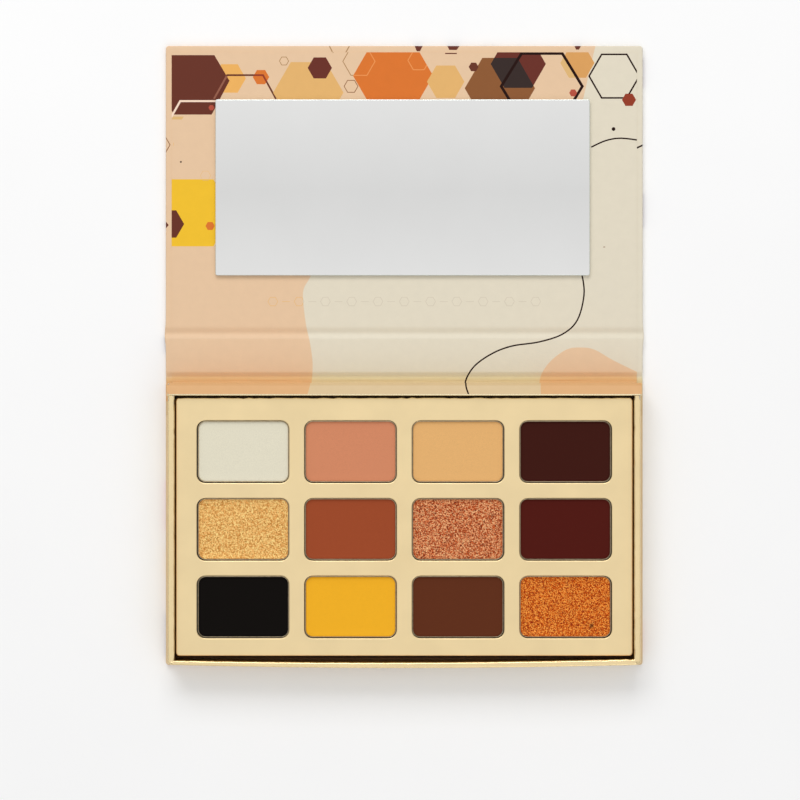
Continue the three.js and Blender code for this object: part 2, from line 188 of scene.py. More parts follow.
class NodeTree:
    """Adds nodes to a shader tree and joins them."""

    def __init__(self, tree):
        self.tree = tree

    def add(self, kind, **settings):
        node = self.tree.nodes.new(kind)
        for key, value in settings.items():
            setattr(node, key, value)
        return node

    def link(self, source, target):
        self.tree.links.new(source, target)

    def multiplied(self, one, other):
        """The product of two colours."""
        node = self.add("ShaderNodeMixRGB", blend_type="MULTIPLY")
        node.inputs["Fac"].default_value = 1
        self.link(one, node.inputs["Color1"])
        self.link(other, node.inputs["Color2"])
        return node.outputs["Color"]

    def split(self, vector):
        node = self.add("ShaderNodeSeparateXYZ")
        self.link(vector, node.inputs["Vector"])
        return node.outputs

    def ramp(self, value, stops):
        """Colours along a value: stops are (position, colour)."""
        node = self.add("ShaderNodeValToRGB")
        elements = node.color_ramp.elements
        while len(elements) < len(stops):
            elements.new(0.5)
        for element, (position, colour) in zip(elements, stops):
            element.position = position
            element.color = colour
        self.link(value, node.inputs["Fac"])
        return node.outputs["Color"]

    def range(self, value, low, high, source=(0.3, 0.7)):
        """Maps a value that runs over source to low and high."""
        node = self.add("ShaderNodeMapRange")
        node.inputs["From Min"].default_value = source[0]
        node.inputs["From Max"].default_value = source[1]
        node.inputs["To Min"].default_value = low
        node.inputs["To Max"].default_value = high
        self.link(value, node.inputs["Value"])
        return node.outputs["Result"]


class Finish(NodeTree):
    """A material, with textures laid out in millimetres on the piece or on its flat sheet."""

    def __init__(self, name, on_sheet=False):
        self.material = bpy.data.materials.new(name)
        self.material.use_nodes = True
        super().__init__(self.material.node_tree)
        self.shader = self.tree.nodes["Principled BSDF"]
        if on_sheet:
            self.place = self.add("ShaderNodeUVMap", uv_map="sheet").outputs["UV"]
            self.per_mm = SHEET_UNIT
        else:
            self.place = self.add("ShaderNodeTexCoord").outputs["Object"]
            self.per_mm = 1 / MM

    def set(self, **values):
        for key, value in values.items():
            self.shader.inputs[key.replace("_", " ")].default_value = value

    def texture(self, kind, density, stretch=(1, 1, 1)):
        """A texture with so many grains to a millimetre; stretch above 1 packs them closer on that axis."""
        mapping = self.add("ShaderNodeMapping")
        mapping.inputs["Scale"].default_value = [s * density * self.per_mm for s in stretch]
        self.link(self.place, mapping.inputs["Vector"])
        node = self.add(kind)
        node.inputs["Scale"].default_value = 1
        self.link(mapping.outputs["Vector"], node.inputs["Vector"])
        return node

    def noise(self, density, detail=3, roughness=0.55, stretch=(1, 1, 1)):
        node = self.texture("ShaderNodeTexNoise", density, stretch)
        node.inputs["Detail"].default_value = detail
        node.inputs["Roughness"].default_value = roughness
        return node.outputs["Fac"]

    def cells(self, density):
        return self.texture("ShaderNodeTexVoronoi", density).outputs

    def bump(self, *layers):
        """Layers are (height value, distance in mm); each is added to the last."""
        normal = None
        for height, distance in layers:
            node = self.add("ShaderNodeBump")
            node.inputs["Strength"].default_value = 1
            node.inputs["Distance"].default_value = distance * MM
            self.link(height, node.inputs["Height"])
            if normal:
                self.link(normal, node.inputs["Normal"])
            normal = node.outputs["Normal"]
        self.link(normal, self.shader.inputs["Normal"])

    def colour(self, output):
        self.link(output, self.shader.inputs["Base Color"])

    def roughness(self, output):
        self.link(output, self.shader.inputs["Roughness"])


# Painted shade and painted warm bounce light on the lining along y, seen from above: darker and warmer from
# the spine's edge into the gutter and at the foot of the rear wall
WALL_FOOT_SHADE_TONES = [
    (-4.4, (1, 1, 1)),
    (-5.9, (1, 1, 0.95)),
    (-6.9, (1, 0.93, 0.67)),
    (-7.8, (0.95, 0.8, 0.54)),
    (REAR_OUTER - 0.45, (0.89, 0.7, 0.46)),
    (-9.4, (0.99, 0.82, 0.6)),
]


def painted_wall_foot_shade(finish):
    """The warm, darker painted shade and painted bounce light of the rear wall, laid on the paper from the
    spine's edge on to the rear wall.
    """
    start, end = run_at(WALL_FOOT_SHADE_TONES[0][0]), run_at(WALL_FOOT_SHADE_TONES[-1][0])
    run = finish.split(finish.place)["Y"]
    share = finish.range(run, 0, 1, (start / SHEET_UNIT, end / SHEET_UNIT))
    return finish.ramp(share, [((run_at(y) - start) / (end - start), (*tone, 1)) for y, tone in WALL_FOOT_SHADE_TONES])


def printed_paper(name, colour, sheen):
    """Satin coated paper: faint mottle in the ink, long fibres, a slightly uneven coating."""
    finish = Finish(name, on_sheet=True)
    mottle = finish.noise(0.35, detail=5)
    ink = finish.ramp(mottle, [(0.3, shifted(colour, 0.985)), (0.7, shifted(colour, 1.015))])
    # Each ink is multiplied by the painted shade and warm bounce light along the lining
    finish.colour(finish.multiplied(ink, painted_wall_foot_shade(finish)))
    fibres = finish.noise(2.5, detail=4, stretch=(1, 0.4, 1))
    finish.roughness(finish.range(fibres, 0.41, 0.52))
    finish.bump((mottle, 0.01), (fibres, 0.003))
    finish.set(Specular_IOR_Level=sheen)
    return finish.material


def grained(name, grain, colours, rough, depth, detail=4, stretch=(1, 1, 1), on_sheet=False, **settings):
    """A material whose colour, roughness and relief follow one noise.

    grain is in grains to a millimetre, rough is (lowest, highest) and depth is in millimetres."""
    finish = Finish(name, on_sheet)
    noise_value = finish.noise(grain, detail=detail, stretch=stretch)
    finish.colour(finish.ramp(noise_value, colours))
    finish.roughness(finish.range(noise_value, *rough))
    finish.bump((noise_value, depth))
    finish.set(**settings)
    return finish.material


def bare_paper(name, colour):
    """The white edge and back of a printed paper."""
    colours = [(0.25, shifted(colour, 0.88)), (0.75, shifted(colour, 1.05))]
    return grained(name, 4, colours, (0.75, 0.92), 0.012, detail=5, stretch=(1, 0.35, 1), on_sheet=True)


def grey_board():
    """Pressed board: mixed grey and tan fibres, with fine layers across its thickness."""
    colours = [(0.2, srgb(150, 140, 124)), (0.55, srgb(184, 174, 156)), (0.85, srgb(205, 196, 180))]
    return grained("grey_board", 1.8, colours, (0.82, 0.95), 0.05, detail=6, stretch=(1, 0.5, 4))


def pan_foam():
    """Dark foam round the pans: open cells of a few tenths of a millimetre."""
    finish = Finish("pan_foam")
    distance = finish.cells(3.2)["Distance"]
    finish.colour(finish.ramp(distance, [(0.1, srgb(58, 40, 24)), (0.7, srgb(34, 22, 12))]))
    finish.bump((distance, 0.08))
    finish.set(Roughness=0.9, Specular_IOR_Level=0.2)
    return finish.material


def foil(name, colour, rough, waves, grain):
    """Metallised paper: gold under a thin lacquer, with soft waves and a faint grain."""
    finish = Finish(name)
    broad = finish.noise(0.09, detail=2)
    fine = finish.noise(3.2, detail=4)
    tint = [(0.3, shifted(colour, 0.97)), (0.7, shifted(colour, 1.03))]
    finish.colour(finish.ramp(broad, tint))
    finish.roughness(finish.range(fine, rough - 0.06, rough + 0.08))
    finish.bump((broad, waves), (fine, grain))
    finish.set(Metallic=0.85, Specular_IOR_Level=0.5, Coat_Weight=0.25, Coat_Roughness=0.3)
    return finish.material


def pressed_aluminium():
    """Drawn aluminium, streaked down its walls, with its colour tinted warm as a painted reflection of the
    gold card round it.
    """
    colours = [(0.3, srgb(176, 158, 128)), (0.7, srgb(196, 180, 150))]
    return grained("pan_aluminium", 1.4, colours, (0.22, 0.4), 0.01, stretch=(1, 1, 5), Metallic=1.0)


def nickel():
    colours = [(0.3, srgb(168, 166, 160)), (0.7, srgb(196, 194, 188))]
    return grained("magnet_nickel", 5, colours, (0.25, 0.4), 0.004, detail=3, Metallic=1.0)


def adhesive():
    colours = [(0.3, srgb(226, 224, 214)), (0.7, srgb(242, 241, 234))]
    return grained("adhesive_sheet", 2, colours, (0.4, 0.6), 0.01)


def liner_paper_painted_shade():
    """The paper under the tray, coloured dark bronze brown as painted shade; it shows only at the foot of
    the gaps round the card.
    """
    colours = [(0.3, srgb(132, 92, 40)), (0.7, srgb(150, 106, 50))]
    return grained("liner_paper_painted_shade", 1.5, colours, (0.45, 0.6), 0.01)


def matte_powder(name, colour):
    """Pressed pigment: fine dry grain with slightly darker pores and pale dust."""
    finish = Finish(name)
    cloud = finish.noise(0.25, detail=3)
    grain = finish.noise(5, detail=4, roughness=0.7)
    tone = [(0.25, shifted(colour, 0.84)), (0.5, colour), (0.8, shifted(colour, 1.14))]
    finish.colour(finish.ramp(grain, tone))
    finish.roughness(finish.range(grain, 0.82, 0.97))
    finish.bump((cloud, 0.03), (grain, 0.022))
    finish.set(Specular_IOR_Level=0.06)
    return finish.material


# How much of a mica grain's tone comes from its neighbourhood
CLUMP_WEIGHT = 0.15


def shimmer_powder(name, rgb, contrast, speck=None):
    """Pressed pigment with mica: grains of a quarter of a millimetre, from dark pits to pale flakes.

    rgb is the mean display colour and contrast how far, in display values, the grains stray from it."""
    finish = Finish(name)
    grains = finish.cells(4.6)
    clumps = finish.noise(1.1, detail=2, roughness=0.7)
    tone = finish.split(grains["Color"])
    mixed = finish.add("ShaderNodeMath", operation="MULTIPLY_ADD")
    mixed.inputs[1].default_value = CLUMP_WEIGHT
    finish.link(clumps, mixed.inputs[0])
    finish.link(tone["X"], mixed.inputs[2])
    tones = finish.ramp(mixed.outputs["Value"], [
        (0.08, srgb(*(max(0, value - contrast) for value in rgb))),
        (0.6, srgb(*rgb)),
        (0.95, srgb(*(min(255, value + 0.8 * contrast) for value in rgb))),
    ])
    if speck:
        away = finish.add("ShaderNodeVectorMath", operation="DISTANCE")
        away.inputs[1].default_value = [value * MM for value in speck]
        finish.link(finish.place, away.inputs[0])
        spot = finish.range(away.outputs["Value"], 0.3, 1, (0.3 * MM, 1.0 * MM))
        tones = finish.multiplied(tones, spot)
    finish.colour(tones)
    finish.roughness(finish.range(tone["Y"], 0.32, 0.6, source=(0.1, 0.9)))
    finish.bump((grains["Distance"], 0.0012 * contrast))
    finish.set(Metallic=0.5, Specular_IOR_Level=0.2)
    return finish.material


def silvered_glass():
    finish = Finish("mirror_silver")
    haze = finish.noise(0.05, detail=3)
    finish.colour(finish.ramp(haze, [(0.3, srgb(243, 243, 242)), (0.7, srgb(245, 245, 244))]))
    finish.roughness(finish.range(haze, 0.01, 0.02))
    finish.set(Metallic=1.0)
    return finish.material


def ground_glass():
    """The mirror's cut edge: faintly green glass with a fine ground grain."""
    colours = [(0.3, srgb(212, 220, 216)), (0.7, srgb(228, 234, 231))]
    return grained(
        "mirror_edge", 6, colours, (0.12, 0.3), 0.0015, detail=3, Metallic=0.3, Specular_IOR_Level=0.7,
    )


INK_COLOURS = {
    "cream": (226, 217, 196),
    "peach": (230, 196, 160),
    "cocoa": (99, 36, 12),
    "fawn": (146, 88, 66),
    "russet": (100, 40, 14),
    "blush": (247, 219, 196),
    "apricot": (237, 176, 90),
    "orange": (219, 114, 32),
    "pale_orange": (238, 152, 82),
    "sand": (227, 177, 106),
    "gold": (218, 158, 88),
    "pale_sand": (222, 180, 116),
    "burgundy": (101, 32, 14),
    "umber": (138, 83, 37),
    "charcoal": (42, 22, 16),
    "brick": (146, 48, 16),
    "coral": (180, 74, 52),
    "yellow": (241, 191, 32),
    "bronze_line": (168, 124, 76),
    "amber": (231, 186, 128),
    "blind": (214, 203, 182),
    "black": (36, 12, 7),
}
# The dense black ink dries matt
INK_SHEEN = {"black": 0.1}
INKS = {
    name: printed_paper(f"ink_{name}", srgb(*rgb), INK_SHEEN.get(name, 0.3))
    for name, rgb in INK_COLOURS.items()
}
# A pale foil ink, printed along the rear wall's inner edge as a painted highlight of the lining's fold
INKS["fold_highlight_foil"] = foil("fold_highlight_foil", srgb(255, 238, 198), 0.25, 0.02, 0.001)
INK_NAMES = list(INKS)
PAPER_CORE = bare_paper("paper_core", srgb(236, 230, 218))


# ---------------------------------------------------------------- mesh helpers


def spread(start, end, step):
    """Evenly spaced values from start to end, no further apart than step."""
    count = max(1, math.ceil(abs(end - start) / step))
    return [start + (end - start) * i / count for i in range(count + 1)]


def make_object(name, bm, materials, sharp=40):
    """Turns a bmesh in millimetres into an object in metres, shaded smooth up to the sharp angle."""
    mesh = bpy.data.meshes.new(name)
    bmesh.ops.scale(bm, vec=(MM, MM, MM), verts=bm.verts)
    bm.to_mesh(mesh)
    bm.free()
    for material in materials:
        mesh.materials.append(material)
    mesh.shade_smooth()
    mesh.set_sharp_from_angle(angle=math.radians(sharp))
    piece = bpy.data.objects.new(name, mesh)
    bpy.context.scene.collection.objects.link(piece)
    return piece


def skin(bm, rows, wrap=False):
    """Joins rows of points, all the same length, with quads; wrap closes each row on itself."""
    grid = [[bm.verts.new(point) for point in row] for row in rows]
    for near, far in zip(grid, grid[1:]):
        count = len(near)
        for i in range(count if wrap else count - 1):
            j = (i + 1) % count
            bm.faces.new((near[i], near[j], far[j], far[i]))
    return grid


def weld(bm, distance=0.0005):
    """Merges points that meet and drops the faces that collapse."""
    bmesh.ops.remove_doubles(bm, verts=bm.verts, dist=distance)
    bmesh.ops.dissolve_degenerate(bm, edges=bm.edges, dist=distance)


def face_outward(bm, test_normal):
    """Gives an open shell one orientation, chosen so that test_normal(bm) is true."""
    bmesh.ops.recalc_face_normals(bm, faces=bm.faces)
    bm.normal_update()
    if not test_normal(bm):
        bmesh.ops.reverse_faces(bm, faces=bm.faces)
        bm.normal_update()


def face_up(bm):
    face_outward(bm, lambda b: next(iter(b.faces)).normal.z > 0)


def capped_skin(bm, rows):
    """A closed tube through rows of points, with a face at each end."""
    grid = skin(bm, rows, wrap=True)
    bm.faces.new(list(reversed(grid[0])))
    bm.faces.new(grid[-1])


def thicken(bm, thickness, core_index):
    """Closes an open sheet into a thin solid by adding its back and its edges."""
    bm.normal_update()
    front = list(bm.faces)
    back_of = {vert: bm.verts.new(vert.co - vert.normal * thickness) for vert in list(bm.verts)}
    open_edges = [loop for face in front for loop in face.loops if len(loop.edge.link_faces) == 1]
    edges = [(loop.vert, loop.link_loop_next.vert) for loop in open_edges]
    for face in front:
        back = bm.faces.new([back_of[loop.vert] for loop in reversed(face.loops)])
        back.material_index = core_index
    for start, end in edges:
        side = bm.faces.new((end, start, back_of[start], back_of[end]))
        side.material_index = core_index


def store_plan(bm, run=lambda point: point.y):
    """Keeps each point's place on the flat sheet, (x, run), as a UV."""
    layer = bm.loops.layers.uv.new("sheet")
    for face in bm.faces:
        for loop in face.loops:
            point = loop.vert.co
            loop[layer].uv = (point.x / SHEET_UNIT, run(point) / SHEET_UNIT)


# ---------------------------------------------------------------- printing


def touches(face, low, high):
    xs = [vert.co.x for vert in face.verts]
    ys = [vert.co.y for vert in face.verts]
    return min(xs) < high[0] and max(xs) > low[0] and min(ys) < high[1] and max(ys) > low[1]


def inside(loop, x, y):
    """Even-odd test of a point against a closed loop of (x, y) points."""
    hit = False
    for (x0, y0), (x1, y1) in zip(loop, loop[1:] + loop[:1]):
        if (y0 > y) != (y1 > y) and x < (x1 - x0) * (y - y0) / (y1 - y0) + x0:
            hit = not hit
    return hit


def cut_loop(bm, loop, facing=0):
    """Cuts the faces along a loop's edges, seen from above, and returns the faces inside it."""
    xs, ys = zip(*loop)
    low, high = (min(xs), min(ys)), (max(xs), max(ys))
    near = [f for f in bm.faces if f.normal.z * facing >= 0 and touches(f, low, high)]
    for (x0, y0), (x1, y1) in zip(loop, loop[1:] + loop[:1]):
        if math.hypot(x1 - x0, y1 - y0) < 1e-4 or not near:
            continue
        edge_low = (min(x0, x1) - 0.01, min(y0, y1) - 0.01)
        edge_high = (max(x0, x1) + 0.01, max(y0, y1) + 0.01)
        crossed = [f for f in near if touches(f, edge_low, edge_high)]
        apart = set(near) - set(crossed)
        parts = set(crossed)
        for face in crossed:
            parts.update(face.edges)
            parts.update(face.verts)
        cut = bmesh.ops.bisect_plane(
            bm, geom=list(parts), dist=1e-4, plane_co=(x0, y0, 0), plane_no=(y1 - y0, x0 - x1, 0),
        )
        fresh = {g for g in cut["geom"] if isinstance(g, bmesh.types.BMFace)}
        near = [f for f in apart | fresh if f.is_valid]
    found = []
    for face in near:
        centre = face.calc_center_median()
        if inside(loop, centre.x, centre.y):
            found.append(face)
    return found


def stamp(bm, loop, ink, over=None, facing=0):
    """Prints a loop; over says which ink a face gets instead where another ink already lies."""
    changed = {INK_NAMES.index(a): INK_NAMES.index(b) for a, b in (over or {}).items()}
    index = INK_NAMES.index(ink)
    for face in cut_loop(bm, loop, facing):
        face.material_index = changed.get(face.material_index, index)


def hexagon(x, y, radius):
    """A flat-topped hexagon's corners."""
    return [
        (x + radius * math.cos(math.radians(60 * i)), y + radius * math.sin(math.radians(60 * i)))
        for i in range(6)
    ]


def ring_of(x, y, radius, sides=14):
    turn = 2 * math.pi / sides
    return [(x + radius * math.cos(turn * i), y + radius * math.sin(turn * i)) for i in range(sides)]


def stroke_quads(points, width, closed=False):
    """The mitred quads of a line of constant width along a run of points."""
    run = [Vector(p) for p in points]
    count = len(run)
    offsets = []
    for i, point in enumerate(run):
        before = run[i - 1] if closed or i else None
        after = run[(i + 1) % count] if closed or i < count - 1 else None
        into = (point - before).normalized() if before is not None else (after - point).normalized()
        out = (after - point).normalized() if after is not None else into
        along = (into + out).normalized()
        across = Vector((-along.y, along.x))
        offsets.append(across * (width / 2 / max(0.3, along.dot(out))))
    quads = []
    for i in range(count if closed else count - 1):
        j = (i + 1) % count
        corners = (run[i] - offsets[i], run[j] - offsets[j], run[j] + offsets[j], run[i] + offsets[i])
        quads.append([tuple(corner) for corner in corners])
    return quads


def smooth_run(points, per_span=6):
    """A Catmull-Rom curve through the points."""
    def blend(p, q, r, s, t):
        square = (2 * p - 5 * q + 4 * r - s) * t * t
        cube = (3 * q - p - 3 * r + s) * t ** 3
        return 0.5 * (2 * q + (r - p) * t + square + cube)

    ends = [points[0], *points, points[-1]]
    run = []
    for around in zip(ends, ends[1:], ends[2:], ends[3:]):
        for i in range(per_span):
            run.append(tuple(blend(*values, i / per_span) for values in zip(*around)))
    run.append(tuple(points[-1]))
    return run


class Artwork:
    """A list of printed shapes in plan millimetres, stamped in order onto any sheet."""

    def __init__(self):
        self.shapes = []

    def fill(self, loop, ink, over=None):
        self.shapes.append((list(loop), ink, over))

    def hexagon(self, x, y, radius, ink, over=None):
        self.fill(hexagon(x, y, radius), ink, over)

    def stroke(self, points, width, ink, over=None, closed=False):
        for quad in stroke_quads(points, width, closed):
            self.fill(quad, ink, over)

    def outline(self, x, y, radius, width, ink, over=None):
        self.stroke(hexagon(x, y, radius), width, ink, over, closed=True)

    def print_on(self, bm, place=None, facing=0):
        """place turns a plan point into the sheet's own (x, y); faces of the other facing stay clear."""
        bm.normal_update()
        for loop, ink, over in self.shapes:
            flat = [place(*point) for point in loop] if place else loop
            stamp(bm, flat, ink, over, facing)


def inside_art():
    """The lining paper: peach on the left, cream on the right, and a loose drift of hexagons."""
    art = Artwork()
    lower = smooth_run([
        (-26, 30), (-28.6, 23.9), (-30.5, 20.5), (-30.8, 16.9), (-29.9, 9.3), (-28.7, 3.8),
        (-27.9, -2.3), (-28.2, -7.8), (-29.2, -12),
    ])
    art.fill([(-80, 100), (59.5, 100), (54.4, 77.9), *lower, (-29.5, -14), (-80, -14)], "peach")
    rise = smooth_run([
        (41.3, -14), (41.3, -7.2), (44, -2.3), (49.2, 1.7), (53.7, 2.4), (58, 1.7), (64, -1.7), (75, -7),
    ])
    art.fill([*rise, (75, -14)], "peach")
    wave = smooth_run([
        (53.2, 27), (54.1, 24.5), (54.7, 18.4), (52.7, 10.8), (48.2, 6.5), (41, 4.1), (33, 2.9), (27, 0.7),
        (21.4, -3.2), (18.6, -8.1), (19.4, -12),
    ])
    art.stroke(wave, 0.46, "black")

    art.hexagon(-53.2, 84.3, 5, "apricot")
    art.fill([
        (-74, 91.4), (-57.8, 91.4), (-53.2, 83.6), (-58.6, 73.3), (-70.1, 73.3), (-71, 74.8), (-74, 79),
    ], "cocoa")
    art.hexagon(-43.6, 84.7, 2.5, "orange")
    trail = [(-57.9, 78.1), (-53.9, 85.3), (-43, 85.3), (-39, 78)]
    art.stroke(trail, 0.55, "russet", {"cocoa": "fawn", "orange": "brick"})
    art.stroke([(-70.9, 72.6), (-68.2, 77.4), (-56, 77.4)], 0.6, "blush")
    art.hexagon(-58.7, 75.4, 0.9, "coral")
    art.fill([(-70.8, 71.8), (-67.7, 71.8), (-67.1, 72.7), (-70.4, 72.7)], "pale_sand")
    art.outline(-36.6, 89.6, 1.4, 0.2, "bronze_line")

    art.hexagon(-29.2, 80, 10.7, "sand")
    art.hexagon(-25.7, 87.5, 3.7, "burgundy")
    art.outline(-16.2, 81.9, 2.1, 0.22, "umber")
    art.hexagon(-3.4, 85.1, 12.2, "orange")
    art.outline(-13.8, 89.5, 4.9, 0.24, "bronze_line", {"orange": "pale_orange"})
    art.outline(4.4, 89.8, 3.3, 0.24, "peach", {"orange": "pale_orange"})
    art.stroke([(-22.3, 93.6), (-21.6, 92.1)], 0.35, "bronze_line")

    art.hexagon(12.6, 83.3, 5.7, "sand")
    art.hexagon(29.1, 81.3, 10.7, "umber")
    art.hexagon(21.1, 87.8, 1.5, "russet")
    art.hexagon(34.7, 88.7, 8.4, "burgundy", {"umber": "charcoal"})
    art.hexagon(52.7, 89, 5.2, "gold")
    ring = [(54.2, 81.9), (48.1, 91.9), (35.7, 91.9), (29.5, 81.9), (35.7, 71.8), (48.1, 71.8)]
    unchanged = {ink: ink for ink in INK_NAMES}
    art.fill(ring, "peach", unchanged | {"gold": "pale_sand"})
    art.stroke(ring, 0.85, "black", closed=True)
    art.hexagon(51.4, 79.9, 1.2, "coral")
    art.stroke([(12.4, 91.9), (16, 91.9)], 0.36, "cocoa")

    art.outline(63.9, 85, 7.65, 0.5, "black")
    art.hexagon(68.4, 77.8, 2.15, "brick")
    art.fill(ring_of(63.7, 68.9, 0.58), "black")
    art.stroke(smooth_run([(56.9, 63.4), (61.4, 65.4), (66, 66.1), (72, 65.4)]), 0.46, "black")
    art.stroke([(60.6, 33), (61.1, 33)], 0.25, "umber")

    art.fill([(-74, 53.6), (-58.1, 53.6), (-52.2, 43.4), (-58.1, 33.2), (-74, 33.2)], "yellow")
    art.hexagon(-71.8, 40, 4.8, "cocoa")
    art.hexagon(-59.1, 39.4, 1.4, "orange")
    art.outline(-60.5, 54.7, 1.6, 0.16, "amber", {"yellow": "pale_sand"})
    art.fill(ring_of(-68, 58.9, 0.28, 8), "black")
    art.stroke([(-70.2, 63.8), (-70.2, 64.8)], 0.2, "amber")

    for i in range(11):
        art.outline(-40 + 8 * i, 16.4, 1.5, 0.2, "blind", {"peach": "amber"})
        if i < 10:
            art.stroke([(-37.2 + 8 * i, 16.4), (-34.8 + 8 * i, 16.4)], 0.18, "blind", {"peach": "amber"})
    return art


def margin_art():
    """What the turned-in edge of the outer paper carries on to the inside."""
    art = Artwork()
    art.fill([(-80, 100), (60, 100), (57, 90), (-68, 90), (-68, -14), (-80, -14)], "peach")
    art.fill([(3, 94.6), (5.8, 94.6), (4.8, 92.6), (3.8, 92.6)], "cocoa")
    art.fill([(12.9, 94.6), (17.1, 94.6), (16, 93), (13.7, 93)], "cocoa")
    art.fill([(51.6, 94.6), (54, 94.6), (53.2, 93.1), (52.3, 93.1)], "cocoa")
    art.stroke([(-16.6, 94.4), (-18.2, 91.5)], 0.3, "bronze_line")
    art.stroke([(-22.9, 94.4), (-21.9, 92.4)], 0.3, "bronze_line")
    art.fill([(-73, 41.2), (-71.7, 39.7), (-73, 38.2)], "cocoa")
    art.stroke([(-73, 67), (-71.3, 64.1), (-73, 61.2)], 0.24, "umber")
    art.stroke([(70, 62.8), (73, 64.2)], 0.5, "black")
    return art


def outside_art():
    """The cover: peach and cream with a drift of filled and outlined hexagons on a honeycomb."""
    art = Artwork()
    sweep = smooth_run([(-8, 100), (-14, 62), (4, 30), (-10, 0), (8, -34), (-6, -66), (2, -100)])
    art.fill([*sweep, (-80, -100), (-80, 100)], "peach")
    pick = random.Random(12)
    fills = ["orange", "sand", "umber", "burgundy", "yellow", "cocoa", "apricot", "gold"]
    pitch = 24
    for row in range(-4, 5):
        for column in range(-3, 4):
            x = column * pitch + (pitch / 2 if row % 2 else 0) + pick.uniform(-5, 5)
            y = row * pitch * 0.9 + pick.uniform(-4, 4)
            size = pick.uniform(2.2, 10.5)
            ink = pick.choice(fills)
            if pick.random() < 0.62:
                art.hexagon(x, y, size, ink, {"umber": "charcoal", "burgundy": "charcoal"})
            else:
                art.outline(x, y, size, pick.choice((0.3, 0.5, 0.8)), pick.choice(("black", "umber")))
            if pick.random() < 0.4:
                art.outline(x + size, y + size * 0.8, size * 0.55, 0.3, "umber", {ink: "blush"})
    return art


# ---------------------------------------------------------------- the lining paper


def on_lining(x, y):
    return x, run_at(y)


def ripple(x, y, size=9.0, seed=0.0):
    """Slow, smooth variation between -1 and 1 over about so many millimetres."""
    return noise.noise(Vector((x / size, y / size, seed)))


# Steps of a sheet's mesh: across it, near its ends, along its run, and over the puckers
SHEET_STEP = 2.4
END_STEP = 0.6
RUN_STEP = 2.2
PUCKER_STEP = 0.11
# Fine lines of puckers follow the foot of the rear wall
WRINKLES = (-7.35, -7.75)
PUCKER_HEIGHT = 0.09
PUCKER_WIDTH = 0.16
# A pale foil strip along the rear wall's inner edge, where the lining paper ends, is a painted highlight of
# the paper's fold there
FOLD_HIGHLIGHT_WIDTH = 0.45


def lining(name, run_start, run_end, half=LINER_REACH):
    """One stretch of the lining paper, printed flat and bent along the profile."""
    stops = {run_start, run_end}
    stops.update(spread(run_start, run_end, RUN_STEP))
    pucker_runs = spread(run_at(-8.1), run_at(-7.0), PUCKER_STEP)
    stops.update(float(r) for r in [*RUN, *pucker_runs] if run_start < r < run_end)
    runs = sorted(stops)
    runs = [r for i, r in enumerate(runs) if i == 0 or r - runs[i - 1] > 0.02]
    bm = bmesh.new()
    middle = half - 5
    xs = [
        *spread(-half, -middle, END_STEP), *spread(-middle, middle, SHEET_STEP)[1:-1],
        *spread(middle, half, END_STEP),
    ]
    skin(bm, [[(x, r, 0) for x in xs] for r in runs])
    face_up(bm)
    LINING_ART.print_on(bm, on_lining)
    beyond = half + 1
    # The painted highlight strip, from the fold at the rear wall's inner edge to the lining's end
    highlight_end, highlight_start = float(RUN[-1]) - 1, run_at(REAR_INNER + FOLD_HIGHLIGHT_WIDTH)
    highlight_strip = [(-beyond, highlight_end), (beyond, highlight_end), (beyond, highlight_start), (-beyond, highlight_start)]
    stamp(bm, highlight_strip, "fold_highlight_foil")
    store_plan(bm)
    for vert in bm.verts:
        x, run = vert.co.x, vert.co.y
        y, z = side_point(run)
        puckers = 0.0
        for i, wrinkle in enumerate(WRINKLES):
            share = max(0.0, 0.35 + 1.3 * ripple(x, 0, 9, 2.2 + 5 * i))
            puckers += PUCKER_HEIGHT * share * math.exp(-((y - wrinkle) / PUCKER_WIDTH) ** 2)
        # Over the rear wall the paper buckles at its ends and turns down
        end = max(0.0, 1 - (half - abs(x)) / 4.5) if y < REAR_OUTER + 0.2 else 0.0
        tuck = end * 0.35 * ripple(x + 1.2 * run, run - x, 1.6, 5.5)
        z += 0.02 * ripple(x, run, 14) + puckers + tuck - 2.4 * max(0.0, end - 0.75) ** 2
        vert.co = (x, y + 0.4 * tuck, z)
    thicken(bm, PAPER * 0.9, len(INK_NAMES))
    return finish_printed(name, bm)


def finish_printed(name, bm):
    """Keeps only the inks that a printed piece uses and makes its object."""
    used = sorted({face.material_index for face in bm.faces})
    for face in bm.faces:
        face.material_index = used.index(face.material_index)
    palette = [INKS[ink] for ink in INK_NAMES] + [PAPER_CORE]
    return make_object(name, bm, [palette[i] for i in used])


# ---------------------------------------------------------------- edges that run round a panel


def corner_run(half, ys, far, radius, x_step=SHEET_STEP, arc=6):
    """Stations round a panel's free edge, which lies at far: each maps an inset to (x, y).

    The left edge takes the stations ys, the far edge crosses to the right and the right edge
    comes back. Inside a corner's radius the stations meet on the mitre line."""
    sign = 1 if far > ys[0] else -1
    stations = []

    def side(x_sign, y):
        return lambda d: (x_sign * (half - d), sign * min(sign * y, sign * far - d))

    def corner(x_sign, angle):
        def at(d):
            reach = max(radius - d, 0)
            centre = max(radius, d)
            x = half - centre + reach * math.cos(angle)
            y = sign * far - centre + reach * math.sin(angle)
            return x_sign * x, sign * y
        return at

    def end(x):
        return lambda d: (max(-(half - d), min(half - d, x)), far - sign * d)

    angles = [math.pi / 2 * i / arc for i in range(arc + 1)]
    stations += [side(-1, y) for y in ys]
    left_corner = len(stations) + arc // 2
    stations += [corner(-1, angle) for angle in angles[1:]]
    stations += [end(x) for x in spread(-half + radius, half - radius, x_step)[1:-1]]
    right_corner = len(stations) + arc // 2
    stations += [corner(1, angle) for angle in reversed(angles)]
    stations += [side(1, y) for y in reversed(ys[:-1])]
    return stations, left_corner, right_corner


